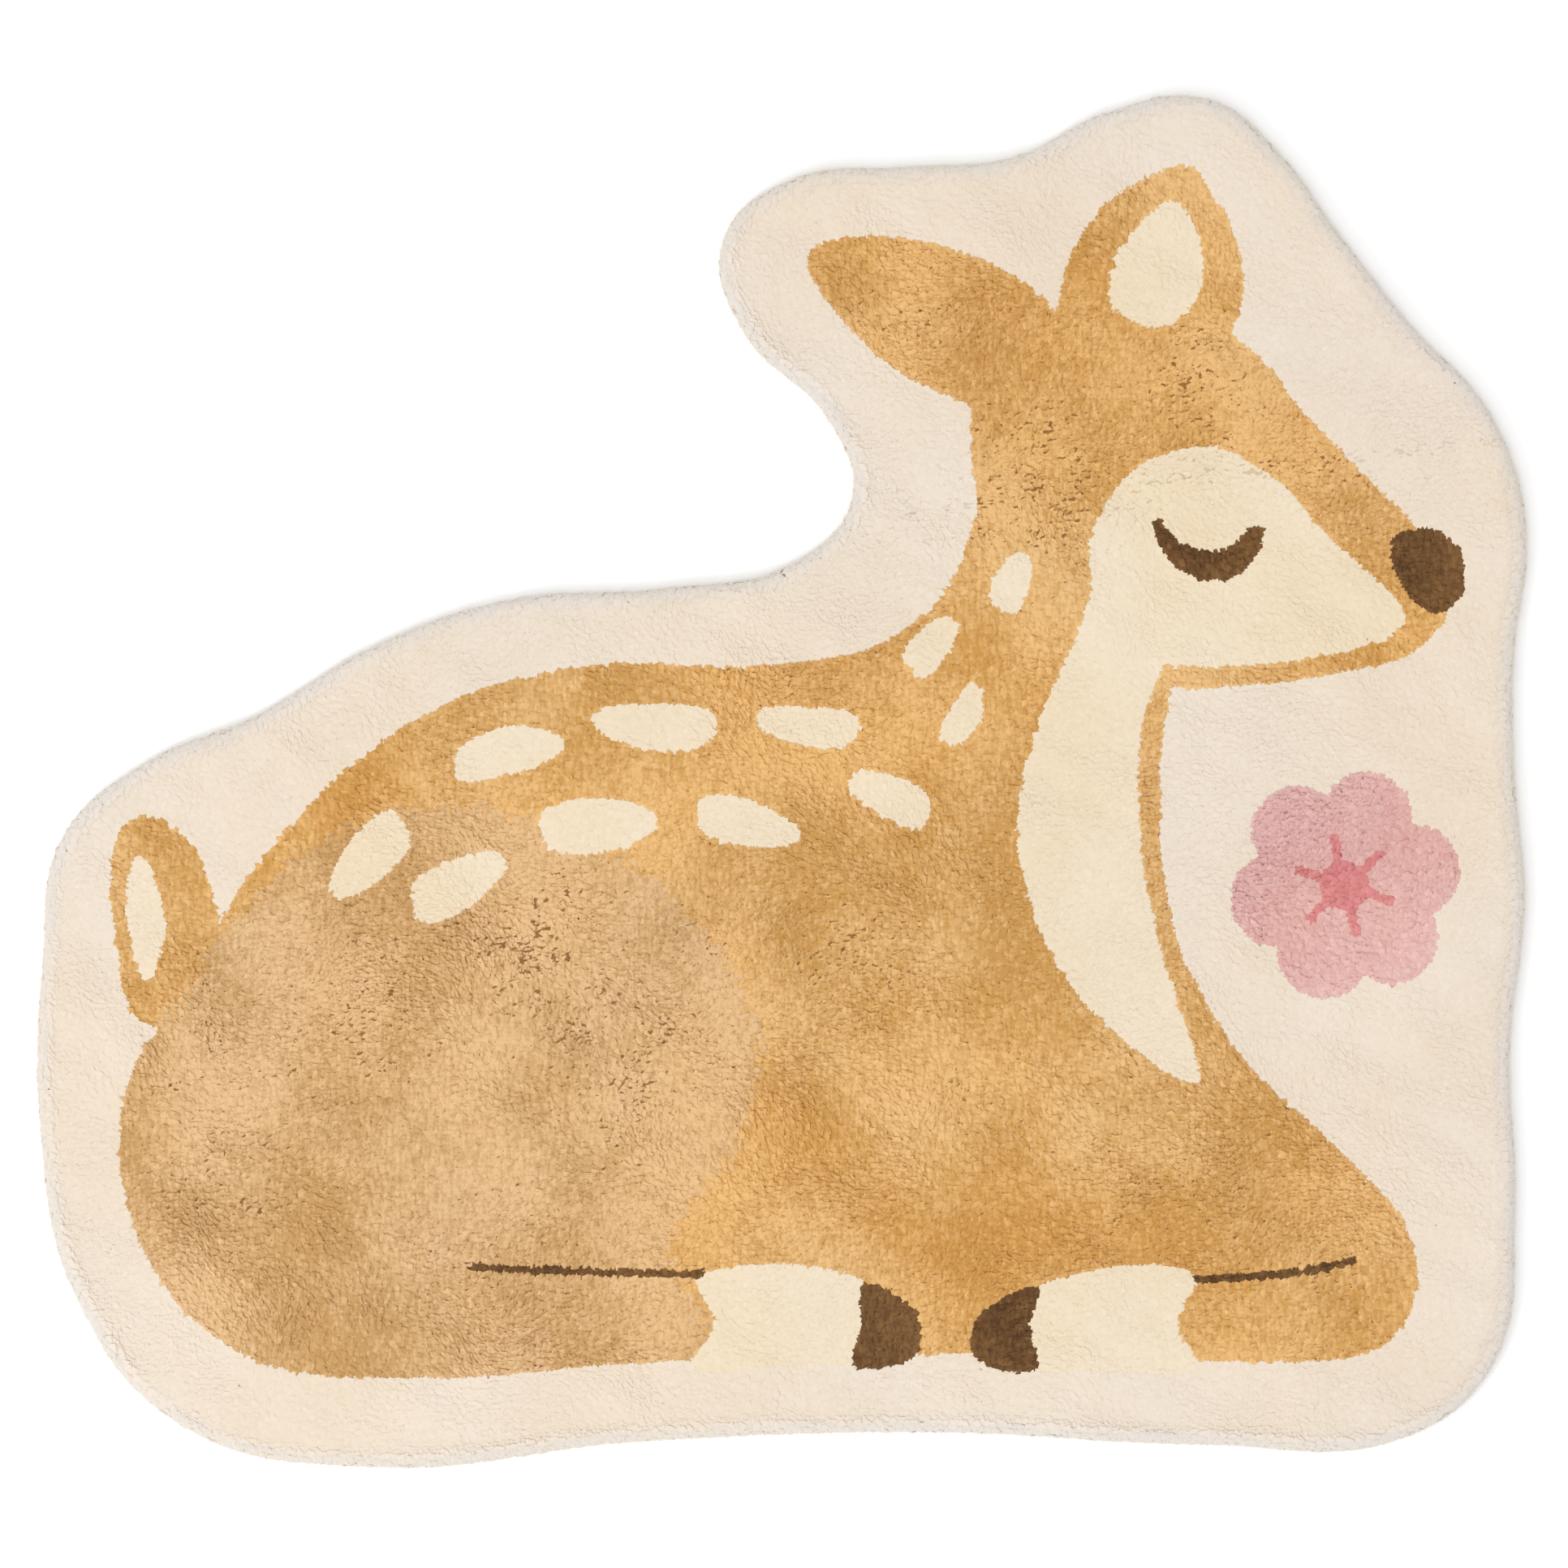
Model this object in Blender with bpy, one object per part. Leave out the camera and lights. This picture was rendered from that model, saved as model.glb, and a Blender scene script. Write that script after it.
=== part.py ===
"""A tufted rug in the outline of a resting fawn, lying flat.

Metres, +Z up. The origin is the middle of the rug on the floor. The head is at +X and +Y.
The rug is one thing: cut pile on a backing, so it is one solid as high as the pile, whose side
bulges a little over the backing's cut edge.
"""

import bpy

RUG_THICKNESS = 0.016  # backing and pile
PILE_OVERHANG = 0.005  # how far the pile's side bulges past the backing's edge

OUTLINE_STEPS = 9  # points between two anchors of the outline
SIDE_STEPS = 2  # rings that round the pile's side, above and below the middle

PILE_COLOUR = (0.708, 0.381, 0.119, 1.0)  # golden tan yarn
PILE_ROUGHNESS = 0.95

# The backing's cut edge, clockwise from the rump, as smooth-curve anchors.
# Columns: the part of the fawn that the edge passes, x, y.
OUTLINE = (
    ("rump", -0.592, -0.280),
    ("tail root", -0.590, -0.140),
    ("tail tip", -0.576, -0.048),
    ("above the tail", -0.510, 0.012),
    ("croup", -0.424, 0.048),
    ("hip", -0.330, 0.104),
    ("loin", -0.220, 0.142),
    ("back", -0.090, 0.152),
    ("withers", 0.010, 0.172),
    ("crook of the neck", 0.060, 0.228),
    ("nape", 0.040, 0.294),
    ("under the laid ear", -0.028, 0.364),
    ("tip of the laid ear", -0.044, 0.434),
    ("over the laid ear", 0.008, 0.480),
    ("crown", 0.096, 0.490),
    ("between the ears", 0.186, 0.498),
    ("raised ear", 0.262, 0.534),
    ("tip of the raised ear", 0.340, 0.545),
    ("before the raised ear", 0.396, 0.502),
    ("brow", 0.442, 0.440),
    ("bridge of the nose", 0.500, 0.366),
    ("nose", 0.566, 0.292),
    ("muzzle", 0.593, 0.206),
    ("chin", 0.583, 0.100),
    ("over the flower", 0.584, 0.000),
    ("beside the flower", 0.592, -0.096),
    ("under the flower", 0.580, -0.210),
    ("knee", 0.584, -0.350),
    ("foreleg", 0.568, -0.464),
    ("lower corner", 0.500, -0.522),
    ("under the foreleg", 0.340, -0.528),
    ("belly", 0.120, -0.518),
    ("under the hind leg", -0.120, -0.526),
    ("thigh", -0.330, -0.546),
    ("buttock", -0.480, -0.514),
    ("behind the thigh", -0.564, -0.412),
)


def clear_scene():
    for old in list(bpy.data.objects):
        bpy.data.objects.remove(old, do_unlink=True)


def new_collection(name):
    collection = bpy.data.collections.new(name)
    bpy.context.scene.collection.children.link(collection)
    return collection


def cut_pile_material():
    material = bpy.data.materials.new("golden_cut_pile")
    material.use_nodes = True
    shader = material.node_tree.nodes["Principled BSDF"]
    shader.inputs["Base Color"].default_value = PILE_COLOUR
    shader.inputs["Roughness"].default_value = PILE_ROUGHNESS
    shader.inputs["Metallic"].default_value = 0.0
    material.diffuse_color = PILE_COLOUR
    return material


def outline_curve(name):
    """The flat outline, made as thick as the rug, with a half-round side."""
    curve = bpy.data.curves.new(name, "CURVE")
    curve.dimensions = "2D"
    curve.fill_mode = "BOTH"
    curve.resolution_u = OUTLINE_STEPS
    curve.extrude = RUG_THICKNESS / 2 - PILE_OVERHANG
    curve.bevel_depth = PILE_OVERHANG
    curve.bevel_resolution = SIDE_STEPS
    spline = curve.splines.new("BEZIER")
    spline.bezier_points.add(len(OUTLINE) - 1)
    for point, (_, x, y) in zip(spline.bezier_points, OUTLINE):
        point.co = (x, y, 0.0)
        point.handle_left_type = "AUTO"
        point.handle_right_type = "AUTO"
    spline.use_cyclic_u = True
    return curve


def rug(collection):
    """The rug with its underside on the floor and the middle of its box over the origin."""
    piece = bpy.data.objects.new("rug", outline_curve("rug"))
    piece.data.materials.append(cut_pile_material())
    collection.objects.link(piece)
    bpy.context.view_layer.update()
    corners = [corner[:] for corner in piece.bound_box]
    for axis in (0, 1):
        sides = [corner[axis] for corner in corners]
        piece.location[axis] = -(min(sides) + max(sides)) / 2
    piece.location.z = RUG_THICKNESS / 2
    return piece


clear_scene()
rug(new_collection("animal_shaped_kids_rug"))
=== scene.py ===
"""A tufted children's rug in the outline of a resting fawn, lying flat on a pale studio floor.

Metres, +Z up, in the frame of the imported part: the origin is on the floor under the middle of the
rug, and the fawn's head is at +X and +Y. The rug is cut pile on a backing. The backing is one
sheet, the yarn packed on it is one slab, and its cut ends are a mesh of tufts for each area.
"""

from functools import lru_cache
from math import cos, pi, radians, sin, tau

import bmesh
import bpy
import numpy as np
from mathutils.kdtree import KDTree
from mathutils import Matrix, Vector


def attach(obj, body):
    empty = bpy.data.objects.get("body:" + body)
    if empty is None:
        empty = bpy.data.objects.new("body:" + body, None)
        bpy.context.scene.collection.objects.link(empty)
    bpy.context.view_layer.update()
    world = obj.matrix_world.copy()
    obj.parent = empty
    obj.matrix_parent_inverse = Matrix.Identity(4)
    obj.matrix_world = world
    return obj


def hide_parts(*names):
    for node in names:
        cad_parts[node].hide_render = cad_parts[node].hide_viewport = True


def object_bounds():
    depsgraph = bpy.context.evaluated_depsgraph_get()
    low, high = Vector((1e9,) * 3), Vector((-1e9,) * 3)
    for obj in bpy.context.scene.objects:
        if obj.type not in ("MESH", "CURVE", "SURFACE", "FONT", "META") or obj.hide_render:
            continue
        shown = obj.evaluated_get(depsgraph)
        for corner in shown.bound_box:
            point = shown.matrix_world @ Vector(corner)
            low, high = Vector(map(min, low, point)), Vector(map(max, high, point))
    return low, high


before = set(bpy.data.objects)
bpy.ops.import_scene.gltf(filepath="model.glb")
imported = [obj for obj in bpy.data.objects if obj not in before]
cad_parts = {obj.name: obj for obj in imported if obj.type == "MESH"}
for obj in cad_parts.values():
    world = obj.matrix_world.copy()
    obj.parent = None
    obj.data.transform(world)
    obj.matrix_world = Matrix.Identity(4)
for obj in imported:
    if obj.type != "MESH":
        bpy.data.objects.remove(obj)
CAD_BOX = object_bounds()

bl_info = {
    "name": "Fawn Rug",
    "version": (1, 0, 0),
    "blender": (4, 5, 0),
    "location": "3D View > Sidebar > Fawn Rug",
    "description": "Tufts a children's rug in the outline of a resting fawn, on a lit pale floor",
    "category": "Object",
}

RUG_NODE = "rug"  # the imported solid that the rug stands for
BODY = "root"

# ---- the picture, in metres from the middle of the rug ----

# Each area of yarn is a smooth closed curve through a few anchors. Columns: x, y.
TAIL = (
    (-0.452, -0.120), (-0.468, -0.060), (-0.500, -0.030), (-0.530, -0.036), (-0.540, -0.076),
    (-0.534, -0.130), (-0.520, -0.190), (-0.470, -0.190),
)
TAIL_LINING = (
    (-0.496, -0.120), (-0.504, -0.076), (-0.518, -0.060), (-0.526, -0.090), (-0.522, -0.130),
    (-0.510, -0.160),
)
TRUNK = (
    (-0.486, -0.178), (-0.430, -0.080), (-0.350, 0.010), (-0.250, 0.070), (-0.140, 0.094),
    (-0.030, 0.092), (0.070, 0.106), (0.130, 0.152), (0.156, 0.220), (0.166, 0.290), (0.240, 0.330),
    (0.320, 0.260), (0.330, 0.160), (0.312, 0.070), (0.304, 0.000), (0.308, -0.080),
    (0.326, -0.150), (0.372, -0.226), (0.440, -0.290), (0.500, -0.356), (0.508, -0.420),
    (0.462, -0.462), (0.330, -0.466), (0.200, -0.460), (0.040, -0.462), (-0.120, -0.468),
    (-0.280, -0.480), (-0.410, -0.470), (-0.492, -0.412), (-0.530, -0.320), (-0.524, -0.236),
)
HAUNCH = (
    (-0.486, -0.178), (-0.400, -0.070), (-0.290, -0.022), (-0.170, -0.040), (-0.070, -0.110),
    (-0.020, -0.200), (-0.036, -0.290), (-0.090, -0.370), (-0.060, -0.470), (-0.280, -0.486),
    (-0.410, -0.476), (-0.498, -0.416), (-0.536, -0.320), (-0.530, -0.236),
)
THROAT = (
    (0.340, 0.140), (0.264, 0.180), (0.238, 0.120), (0.208, 0.050), (0.190, -0.020),
    (0.198, -0.096), (0.234, -0.166), (0.288, -0.220), (0.334, -0.242), (0.318, -0.180),
    (0.298, -0.110), (0.288, -0.040), (0.288, 0.030), (0.302, 0.084),
)
LAID_EAR = (
    (0.226, 0.352), (0.236, 0.306), (0.176, 0.296), (0.096, 0.326), (0.036, 0.384), (0.022, 0.424),
    (0.066, 0.438), (0.146, 0.424), (0.210, 0.388),
)
HEAD = (
    (0.152, 0.262), (0.164, 0.330), (0.220, 0.374), (0.300, 0.382), (0.372, 0.350), (0.424, 0.292),
    (0.478, 0.236), (0.522, 0.190), (0.538, 0.146), (0.508, 0.104), (0.446, 0.086), (0.372, 0.076),
    (0.300, 0.078), (0.230, 0.112), (0.170, 0.184),
)
RAISED_EAR = (
    (0.230, 0.346), (0.228, 0.410), (0.262, 0.466), (0.318, 0.494), (0.342, 0.478), (0.368, 0.420),
    (0.364, 0.366), (0.334, 0.332),
)
EAR_LINING = (
    (0.266, 0.380), (0.270, 0.424), (0.310, 0.466), (0.332, 0.440), (0.336, 0.396), (0.306, 0.364),
)
CHEEK = (
    (0.300, 0.096), (0.256, 0.136), (0.248, 0.196), (0.284, 0.250), (0.344, 0.268), (0.396, 0.242),
    (0.438, 0.196), (0.486, 0.152), (0.498, 0.126), (0.460, 0.106), (0.380, 0.093),
)
NOSE = (
    (0.490, 0.194), (0.522, 0.202), (0.546, 0.182), (0.546, 0.150), (0.524, 0.134), (0.498, 0.154),
)
HIND_FOOT = (
    (-0.066, -0.398), (0.000, -0.388), (0.064, -0.400), (0.104, -0.430), (0.096, -0.466),
    (0.000, -0.470), (-0.070, -0.474), (-0.054, -0.436),
)
HIND_HOOF = (
    (0.066, -0.402), (0.106, -0.424), (0.110, -0.458), (0.090, -0.470), (0.058, -0.470),
    (0.064, -0.436),
)
FORE_FOOT = (
    (0.200, -0.408), (0.270, -0.390), (0.330, -0.396), (0.318, -0.436), (0.330, -0.474),
    (0.260, -0.474), (0.180, -0.472), (0.166, -0.438),
)
FORE_HOOF = (
    (0.206, -0.406), (0.164, -0.424), (0.152, -0.454), (0.172, -0.472), (0.206, -0.472),
    (0.200, -0.438),
)

# Pale spots of the coat. Columns: middle x, middle y, length, width, turn in degrees.
SPOTS = (
    (-0.330, -0.060, 0.084, 0.038, 44),
    (-0.222, 0.022, 0.092, 0.036, 18),
    (-0.100, 0.044, 0.096, 0.038, 0),
    (0.022, 0.044, 0.078, 0.034, -4),
    (-0.262, -0.084, 0.084, 0.040, 26),
    (-0.150, -0.036, 0.100, 0.040, 6),
    (-0.030, -0.034, 0.084, 0.036, -10),
    (0.088, -0.014, 0.066, 0.036, -24),
    (0.120, 0.108, 0.058, 0.028, 48),
    (0.184, 0.158, 0.052, 0.026, 66),
    (0.146, 0.052, 0.050, 0.026, 62),
)

# Lines of brown yarn. Columns: x, y, width.
CLOSED_EYE = (
    (0.300, 0.210, 0.007), (0.314, 0.186, 0.017), (0.338, 0.173, 0.024), (0.364, 0.178, 0.023),
    (0.382, 0.204, 0.014),
)
HIND_LEG_LINE = ((-0.250, -0.390, 0.0062), (-0.150, -0.394, 0.0062), (-0.062, -0.396, 0.0062))
FORE_LEG_LINE = ((0.330, -0.400, 0.0062), (0.400, -0.396, 0.0062), (0.462, -0.384, 0.0062))

FLOWER_PLACE = (0.452, -0.084)
PETALS = 6
PETAL_REACH = 0.092  # from the flower's middle to a petal's tip
PETAL_WIDTH = 0.076
PETAL_LENGTH = 0.92  # of its reach
PETAL_MIDDLE = 0.56  # how far out the middle of a petal is, of its reach
PETAL_POWER = 2.2
FLOWER_TURN = 12.0  # degrees
HEART_WIDTH = 0.040
STAMEN_REACH = 0.042
STAMEN_WIDTH = 0.007

CURVE_STEPS = 12  # points between two anchors
OVAL_STEPS = 28
SPOT_POWER = 2.4  # 2 is an ellipse, and more has fuller corners
SPOT_UNEVEN = 0.16  # how far a hand-drawn spot strays from it, for its size
STRAY_X, STRAY_Y = 97, 131  # how fast the straying changes with its place, in radians a metre
LINE_DEGREE = 3  # of the curve through the points of a line

# ---- how the pile is made ----

CANVAS = 0.0015  # thickness of the backing
PACKED = 0.0131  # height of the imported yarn, with only the ends of the tufts above it
PACKED_GRID = 0.007  # squares that its top is cut into, to take each yarn's colour
PACKED_REACH = 0.7  # how far the squares go from the middle
CUT_TOLERANCE = 1e-6
SAME_LEVEL = 1e-5
SAME_PLACE = 5  # decimal places of a corner
HAND_ERROR = 0.3  # how far a tuft stands off its place, in tufts
ROW_OFF_LINE = 0.46  # from a line of the picture to the first row, in tufts
ROW_REACH = 1.1  # how far off tufts are drawn to it
ROW_PULL = 0.45
RAGGED = 0.0003  # how far a tuft misses its row
LINE_STEP = 0.001
BESIDE_LINE = 0.0004  # where the yarn on each side of a line is read
SOFT_EDGE = 0.007  # how far the two tans run into each other
SWELL = 0.055  # from one swell of the pile's top to the next
RISE_AND_FALL = 0.0005
SUNK = 0.0024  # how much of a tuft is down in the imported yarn
TIP_ERROR = 0.0003  # how much the height of a tip varies
TILT_ERROR = 0.085  # how much its lean varies, for its height
WIDTHS = (0.85, 1.15)  # of the thinnest and the thickest tuft, for the usual one

# How the pile lies. Columns: metres from one lie to the next, radians that it turns, how much more
# or less it leans.
NAP = ((0.26, 0.8, 0.35), (0.085, 0.4, 0.25))
NAP_HEADING = -90.0  # degrees, towards the rug's lower edge
LEAST_LEAN, MOST_LEAN = 0.02, 0.6
HILLS = 14  # waves in a hilly surface
PACES = (0.7, 1.5)  # lengths of the shortest and the longest, for the usual one

# A tuft's shade, from 0 to 1.
SHADE_SPREAD = 0.20  # how much single tufts differ
STREAK_WIDTH = 0.0033  # stitches of one strand, which share a shade
STREAK_LENGTH = 0.015
STREAK_SHADE = 0.4  # how much strands differ
STREAK_WANDER = 0.002  # how far a strand strays sideways
STREAK_BEND = 40  # and how fast, in radians a metre
CLUMP = 0.007  # from one clump of ends to the next
CLUMP_HILLS = 30
CLUMP_SHADE = 0.26  # how much clumps differ

# The pile's side is sheared round: in a cut, an ellipse round a point inside the edge.
RIM_INSET = 0.0042  # from the edge in to that point
RIM_OUT = 0.0062  # from that point out to the side
RIM_LAST = -62.0  # degrees below level, where the side meets the backing
RIM_STEPS = 7
# The rows of tufts on the side. Columns: degrees above level, width for one of the top, how far
# below the tip it is widest.
RIM_ROWS = (
    (74, 1.00, 0.0006),
    (51, 0.92, 0.0007),
    (28, 0.80, 0.0009),
    (5, 0.72, 0.0012),
    (-18, 0.66, 0.0014),
    (-41, 0.62, 0.0014),
)
RIM_SPACING = 0.92  # between the tufts of a row, for the spacing of the top
RIM_LENGTH = 0.92  # of a tuft there, for one of the top
RIM_LENGTHS = (0.93, 1.05)  # and the shortest and the longest, for that
RIM_ERROR = 0.0004  # how far such a tuft stands off its place
RIM_TURN_ERROR = 3.0  # degrees
RIM_TILT_ERROR = 0.07
RIM_SPLAY = 0.012  # how far inside the edge the tufts start to splay
RIM_SPLAY_LEAN = 0.5  # how far out the last ones lean, for their height
# Painted shade along the edge: the yarn is painted greyer towards the edge, fading inwards.
EDGE_SHADE_FADE = 0.0055  # where the greying has faded to a third
# Painted shade on the side: its rows are painted darker the lower they stand.
RIM_SHADE = 0.80  # how light the side's uppermost row is, for the top

SHOULDER_DROP = 0.0007  # how far below its tip a tuft is widest
PALE_YARNS = ("border", "cream")
PALE_EVENNESS = 0.35  # how uneven pale pile is, for dyed pile
OFF_FLOOR = 0.0002
# Painted shade: how far up each corner of a tuft stands, from foot to tip; a tuft is painted darker
# towards its foot.
RISE_OF_CORNERS = (0.0, 0.85, 0.85, 0.85, 0.85, 1.0)
RAGGED_END = 0.16  # how much the corners of a cut end differ
RAGGED_DROP = 0.22
SIDEWAYS = 0.25  # rise of the way that a tuft's corners are set out from
BAKE_SHOULDER = 0.0011  # half width of a tuft on the bake's map
BAKE_FOOT = 0.0015
BAKE_RIM = 0.6  # and how far out it has the side's first row, in tufts
MOST_TUFTS = 24_900  # in one mesh
BORDER_CUTS = (-0.36, 0.05)  # heights of the picture that part the border into meshes
COAT_CUTS = (-0.10,)
SEED = 20

# Where wear has parted the pile. Columns: middle x, middle y, spread, how much.
WORN_PATCHES = (
    (-0.200, -0.130, 0.055, 0.90),
    (-0.130, -0.220, 0.060, 0.90),
    (-0.070, -0.130, 0.030, 0.60),
    (-0.330, -0.200, 0.060, 0.70),
    (-0.440, -0.330, 0.055, 0.70),
    (-0.450, -0.190, 0.035, 0.65),
    (-0.230, -0.370, 0.050, 0.50),
    (0.060, -0.140, 0.055, 0.70),
    (0.160, -0.240, 0.045, 0.55),
    (0.300, -0.330, 0.060, 0.60),
    (0.210, 0.240, 0.055, 0.90),
    (0.330, 0.310, 0.045, 0.85),
    (0.090, 0.370, 0.040, 0.65),
    (0.085, 0.215, 0.035, 0.70),
    (0.000, 0.070, 0.035, 0.60),
    (0.440, -0.400, 0.035, 0.50),
)
# Where it has been folded. Columns: x and y of one end, x and y of the other, spread, how much.
FOLD_LINES = (
    (0.085, 0.212, 0.595, 0.276, 0.006, 0.95),
    (0.110, 0.190, 0.300, 0.222, 0.005, 0.85),
    (0.300, 0.258, 0.520, 0.240, 0.005, 0.70),
    (-0.520, -0.250, -0.260, -0.215, 0.006, 0.60),
)


def linear(hex_colour):
    """An sRGB hex value as the linear colour that a shader takes."""
    parts = [int(hex_colour[i : i + 2], 16) / 255 for i in (1, 3, 5)]
    curved = (c / 12.92 if c <= 0.04045 else ((c + 0.055) / 1.055) ** 2.4 for c in parts)
    return (*curved, 1.0)


# ---- outlines ----


def unit(vectors):
    return vectors / np.linalg.norm(vectors, axis=1)[:, None]


def smooth_outline(anchors):
    """A smooth closed curve through the anchors, as an array of points."""
    here = np.array(anchors, float)[:, None]
    before, after, later = np.roll(here, 1, 0), np.roll(here, -1, 0), np.roll(here, -2, 0)
    t = np.linspace(0, 1, CURVE_STEPS, endpoint=False)[None, :, None]
    first = 2 * here + (after - before) * t
    second = (2 * before - 5 * here + 4 * after - later) * t**2
    third = (3 * here - before - 3 * after + later) * t**3
    return (0.5 * (first + second + third)).reshape(-1, 2)


def oval(x, y, length, width, turn, power=SPOT_POWER, uneven=0.0):
    """A rounded spot, turned by so many degrees. Its place decides how it strays from an oval."""
    t = np.linspace(0, tau, OVAL_STEPS, endpoint=False)
    stray = 1 + uneven * (np.sin(2 * t + STRAY_X * x) + np.sin(3 * t + STRAY_Y * y)) / 2
    along, across = (
        np.sign(part) * np.abs(part) ** (2 / power) * (size * stray) / 2
        for part, size in ((np.cos(t), length), (np.sin(t), width))
    )
    c, s = cos(radians(turn)), sin(radians(turn))
    return np.stack([x + along * c - across * s, y + along * s + across * c], 1)


def stroke(line):
    """The outline of a line that has a width at each of its points."""
    line = np.array(line, float)
    steps = np.linspace(0, len(line) - 1, (len(line) - 1) * CURVE_STEPS + 1)
    known = np.arange(len(line))
    order = min(len(line) - 1, LINE_DEGREE)
    path = np.stack([np.polyval(np.polyfit(known, line[:, i], order), steps) for i in range(3)], 1)
    way = unit(np.gradient(path[:, :2], axis=0))
    side = np.stack([-way[:, 1], way[:, 0]], 1) * path[:, 2:] / 2
    return np.concatenate([path[:, :2] + side, (path[:, :2] - side)[::-1]])


def on_flower(number, reach):
    """The turn of a petal in degrees, and the place this far out that way."""
    turn = FLOWER_TURN + 360 * number / PETALS
    x, y = FLOWER_PLACE
    return turn, x + reach * cos(radians(turn)), y + reach * sin(radians(turn))


def petal(number):
    turn, *middle = on_flower(number, PETAL_REACH * PETAL_MIDDLE)
    return oval(*middle, PETAL_REACH * PETAL_LENGTH, PETAL_WIDTH, turn, PETAL_POWER)


def stamen(number):
    _, *tip = on_flower(number + 0.5, STAMEN_REACH)
    return stroke(((*FLOWER_PLACE, STAMEN_WIDTH), (*tip, STAMEN_WIDTH)))


def picture():
    """The areas of yarn, each over those before it, as a yarn and an outline."""
    curves = (
        ("gold", TAIL, TRUNK),
        ("cream", TAIL_LINING),
        ("tan", HAUNCH),
        ("gold", LAID_EAR, HEAD, RAISED_EAR),
        ("cream", EAR_LINING, THROAT, CHEEK, HIND_FOOT, FORE_FOOT),
        ("brown", NOSE, HIND_HOOF, FORE_HOOF),
    )
    areas = [(yarn, smooth_outline(area)) for yarn, *outlines in curves for area in outlines]
    areas += [("cream", oval(*spot, uneven=SPOT_UNEVEN)) for spot in SPOTS]
    areas += [("brown", stroke(line)) for line in (CLOSED_EYE, HIND_LEG_LINE, FORE_LEG_LINE)]
    areas += [("pink", petal(number)) for number in range(PETALS)]
    areas += [("rose", stamen(number)) for number in range(PETALS)]
    areas.append(("rose", oval(*FLOWER_PLACE, HEART_WIDTH, HEART_WIDTH, 0, 2)))
    return areas


YARNS = ("border", "cream", "gold", "tan", "brown", "pink", "rose")


def inside(points, outline):
    """Whether each point lies inside the closed outline."""
    near = np.flatnonzero(((points >= outline.min(0)) & (points <= outline.max(0))).all(1))
    x, y = points[near].T
    odd = np.zeros(len(near), bool)
    for (x0, y0), (x1, y1) in zip(outline, np.roll(outline, -1, 0)):
        if y0 != y1:
            crosses = (y0 > y) != (y1 > y)
            odd ^= crosses & (x < x0 + (y - y0) * (x1 - x0) / (y1 - y0))
    found = np.zeros(len(points), bool)
    found[near[odd]] = True
    return found


def yarn_at(points, rng):
    """The number in YARNS of the yarn at each point."""
    miss = SOFT_EDGE * rng.uniform(-1, 1, points.shape)
    found = np.zeros(len(points), int)
    for yarn, outline in picture():
        if yarn == "tan":
            here = inside(points + miss, outline) & (found == YARNS.index("gold"))
        else:
            here = inside(points, outline)
        found[here] = YARNS.index(yarn)
    return found


def backing_edge():
    """The cut edge of the backing, anticlockwise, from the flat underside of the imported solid."""
    mesh = bpy.data.objects[RUG_NODE].data
    mesh.calc_loop_triangles()
    corners = np.array([vertex.co for vertex in mesh.vertices])
    faces = np.array([triangle.vertices for triangle in mesh.loop_triangles])
    under = faces[(np.abs(corners[faces][:, :, 2]) < SAME_LEVEL).all(1)]
    keys = {}
    rounded = np.round(corners[:, :2], SAME_PLACE)
    names = [keys.setdefault(tuple(place), len(keys)) for place in rounded]
    places = np.array(list(keys))
    sides = np.array(names)[under]
    edges = {(a, b) for face in sides for a, b in zip(face, np.roll(face, -1))}
    following = {a: b for a, b in edges if (b, a) not in edges}
    start = here = next(iter(following))
    ring = [start]
    while following[here] != start:
        here = following[here]
        ring.append(here)
    edge = places[ring]
    return edge if area_of(edge) > 0 else edge[::-1]


def area_of(outline):
    """The area inside a closed outline, negative for a clockwise one."""
    turned = np.roll(outline, -1, 0)
    return (outline[:, 0] * turned[:, 1] - outline[:, 1] * turned[:, 0]).sum() / 2


def to_edge(points, outline):
    """How far each point is from the outline, and the unit vector that leads there."""
    best = np.full(len(points), np.inf)
    way = np.zeros_like(points)
    for a, b in zip(outline, np.roll(outline, -1, 0)):
        side = b - a
        share = np.clip(((points - a) @ side) / (side @ side), 0, 1)
        lead = a + share[:, None] * side - points
        far = np.einsum("ij,ij->i", lead, lead)
        nearer = far < best
        best[nearer] = far[nearer]
        way[nearer] = lead[nearer]
    far = np.sqrt(best)
    return far, way / np.maximum(far, 1e-9)[:, None]


# ---- tufts ----


def waves(points, length, rng, count=HILLS):
    """Smooth, irregular hills over the floor, from about -1 to 1, this far apart."""
    turn = rng.uniform(0, tau, count)
    pace = tau / (length * rng.uniform(*PACES, count))
    start = rng.uniform(0, tau, count)
    ways = np.stack([np.cos(turn) * pace, np.sin(turn) * pace])
    return np.sin(points @ ways + start).sum(1) / count**0.5


def packed_height(points):
    """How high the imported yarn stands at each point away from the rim."""
    rng = np.random.default_rng(SEED + 1)
    return PACKED + RISE_AND_FALL * waves(points, SWELL, rng)


def stitches(low, high, spacing, rng):
    """The roots of tufts in staggered rows, each a little off its place."""
    row = spacing * 3**0.5 / 2
    x = np.arange(low[0], high[0], spacing)
    y = np.arange(low[1], high[1], row)
    grid = np.stack(np.meshgrid(x, y), -1)
    grid[1::2, :, 0] += spacing / 2
    points = grid.reshape(-1, 2)
    return points + rng.uniform(-HAND_ERROR, HAND_ERROR, points.shape) * spacing


def evenly_along(outline, spacing, shift):
    """Points so far apart along a closed outline, and the unit vector out of it at each."""
    closed = np.vstack([outline, outline[:1]])
    run = np.concatenate([[0], np.cumsum(np.linalg.norm(np.diff(closed, axis=0), axis=1))])
    at = (np.arange(int(run[-1] / spacing)) + shift) * spacing
    points = np.stack([np.interp(at, run, closed[:, i]) for i in (0, 1)], 1)
    outward = outward_from(outline)
    outward = np.vstack([outward, outward[:1]])
    return points, unit(np.stack([np.interp(at, run, outward[:, i]) for i in (0, 1)], 1))


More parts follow.
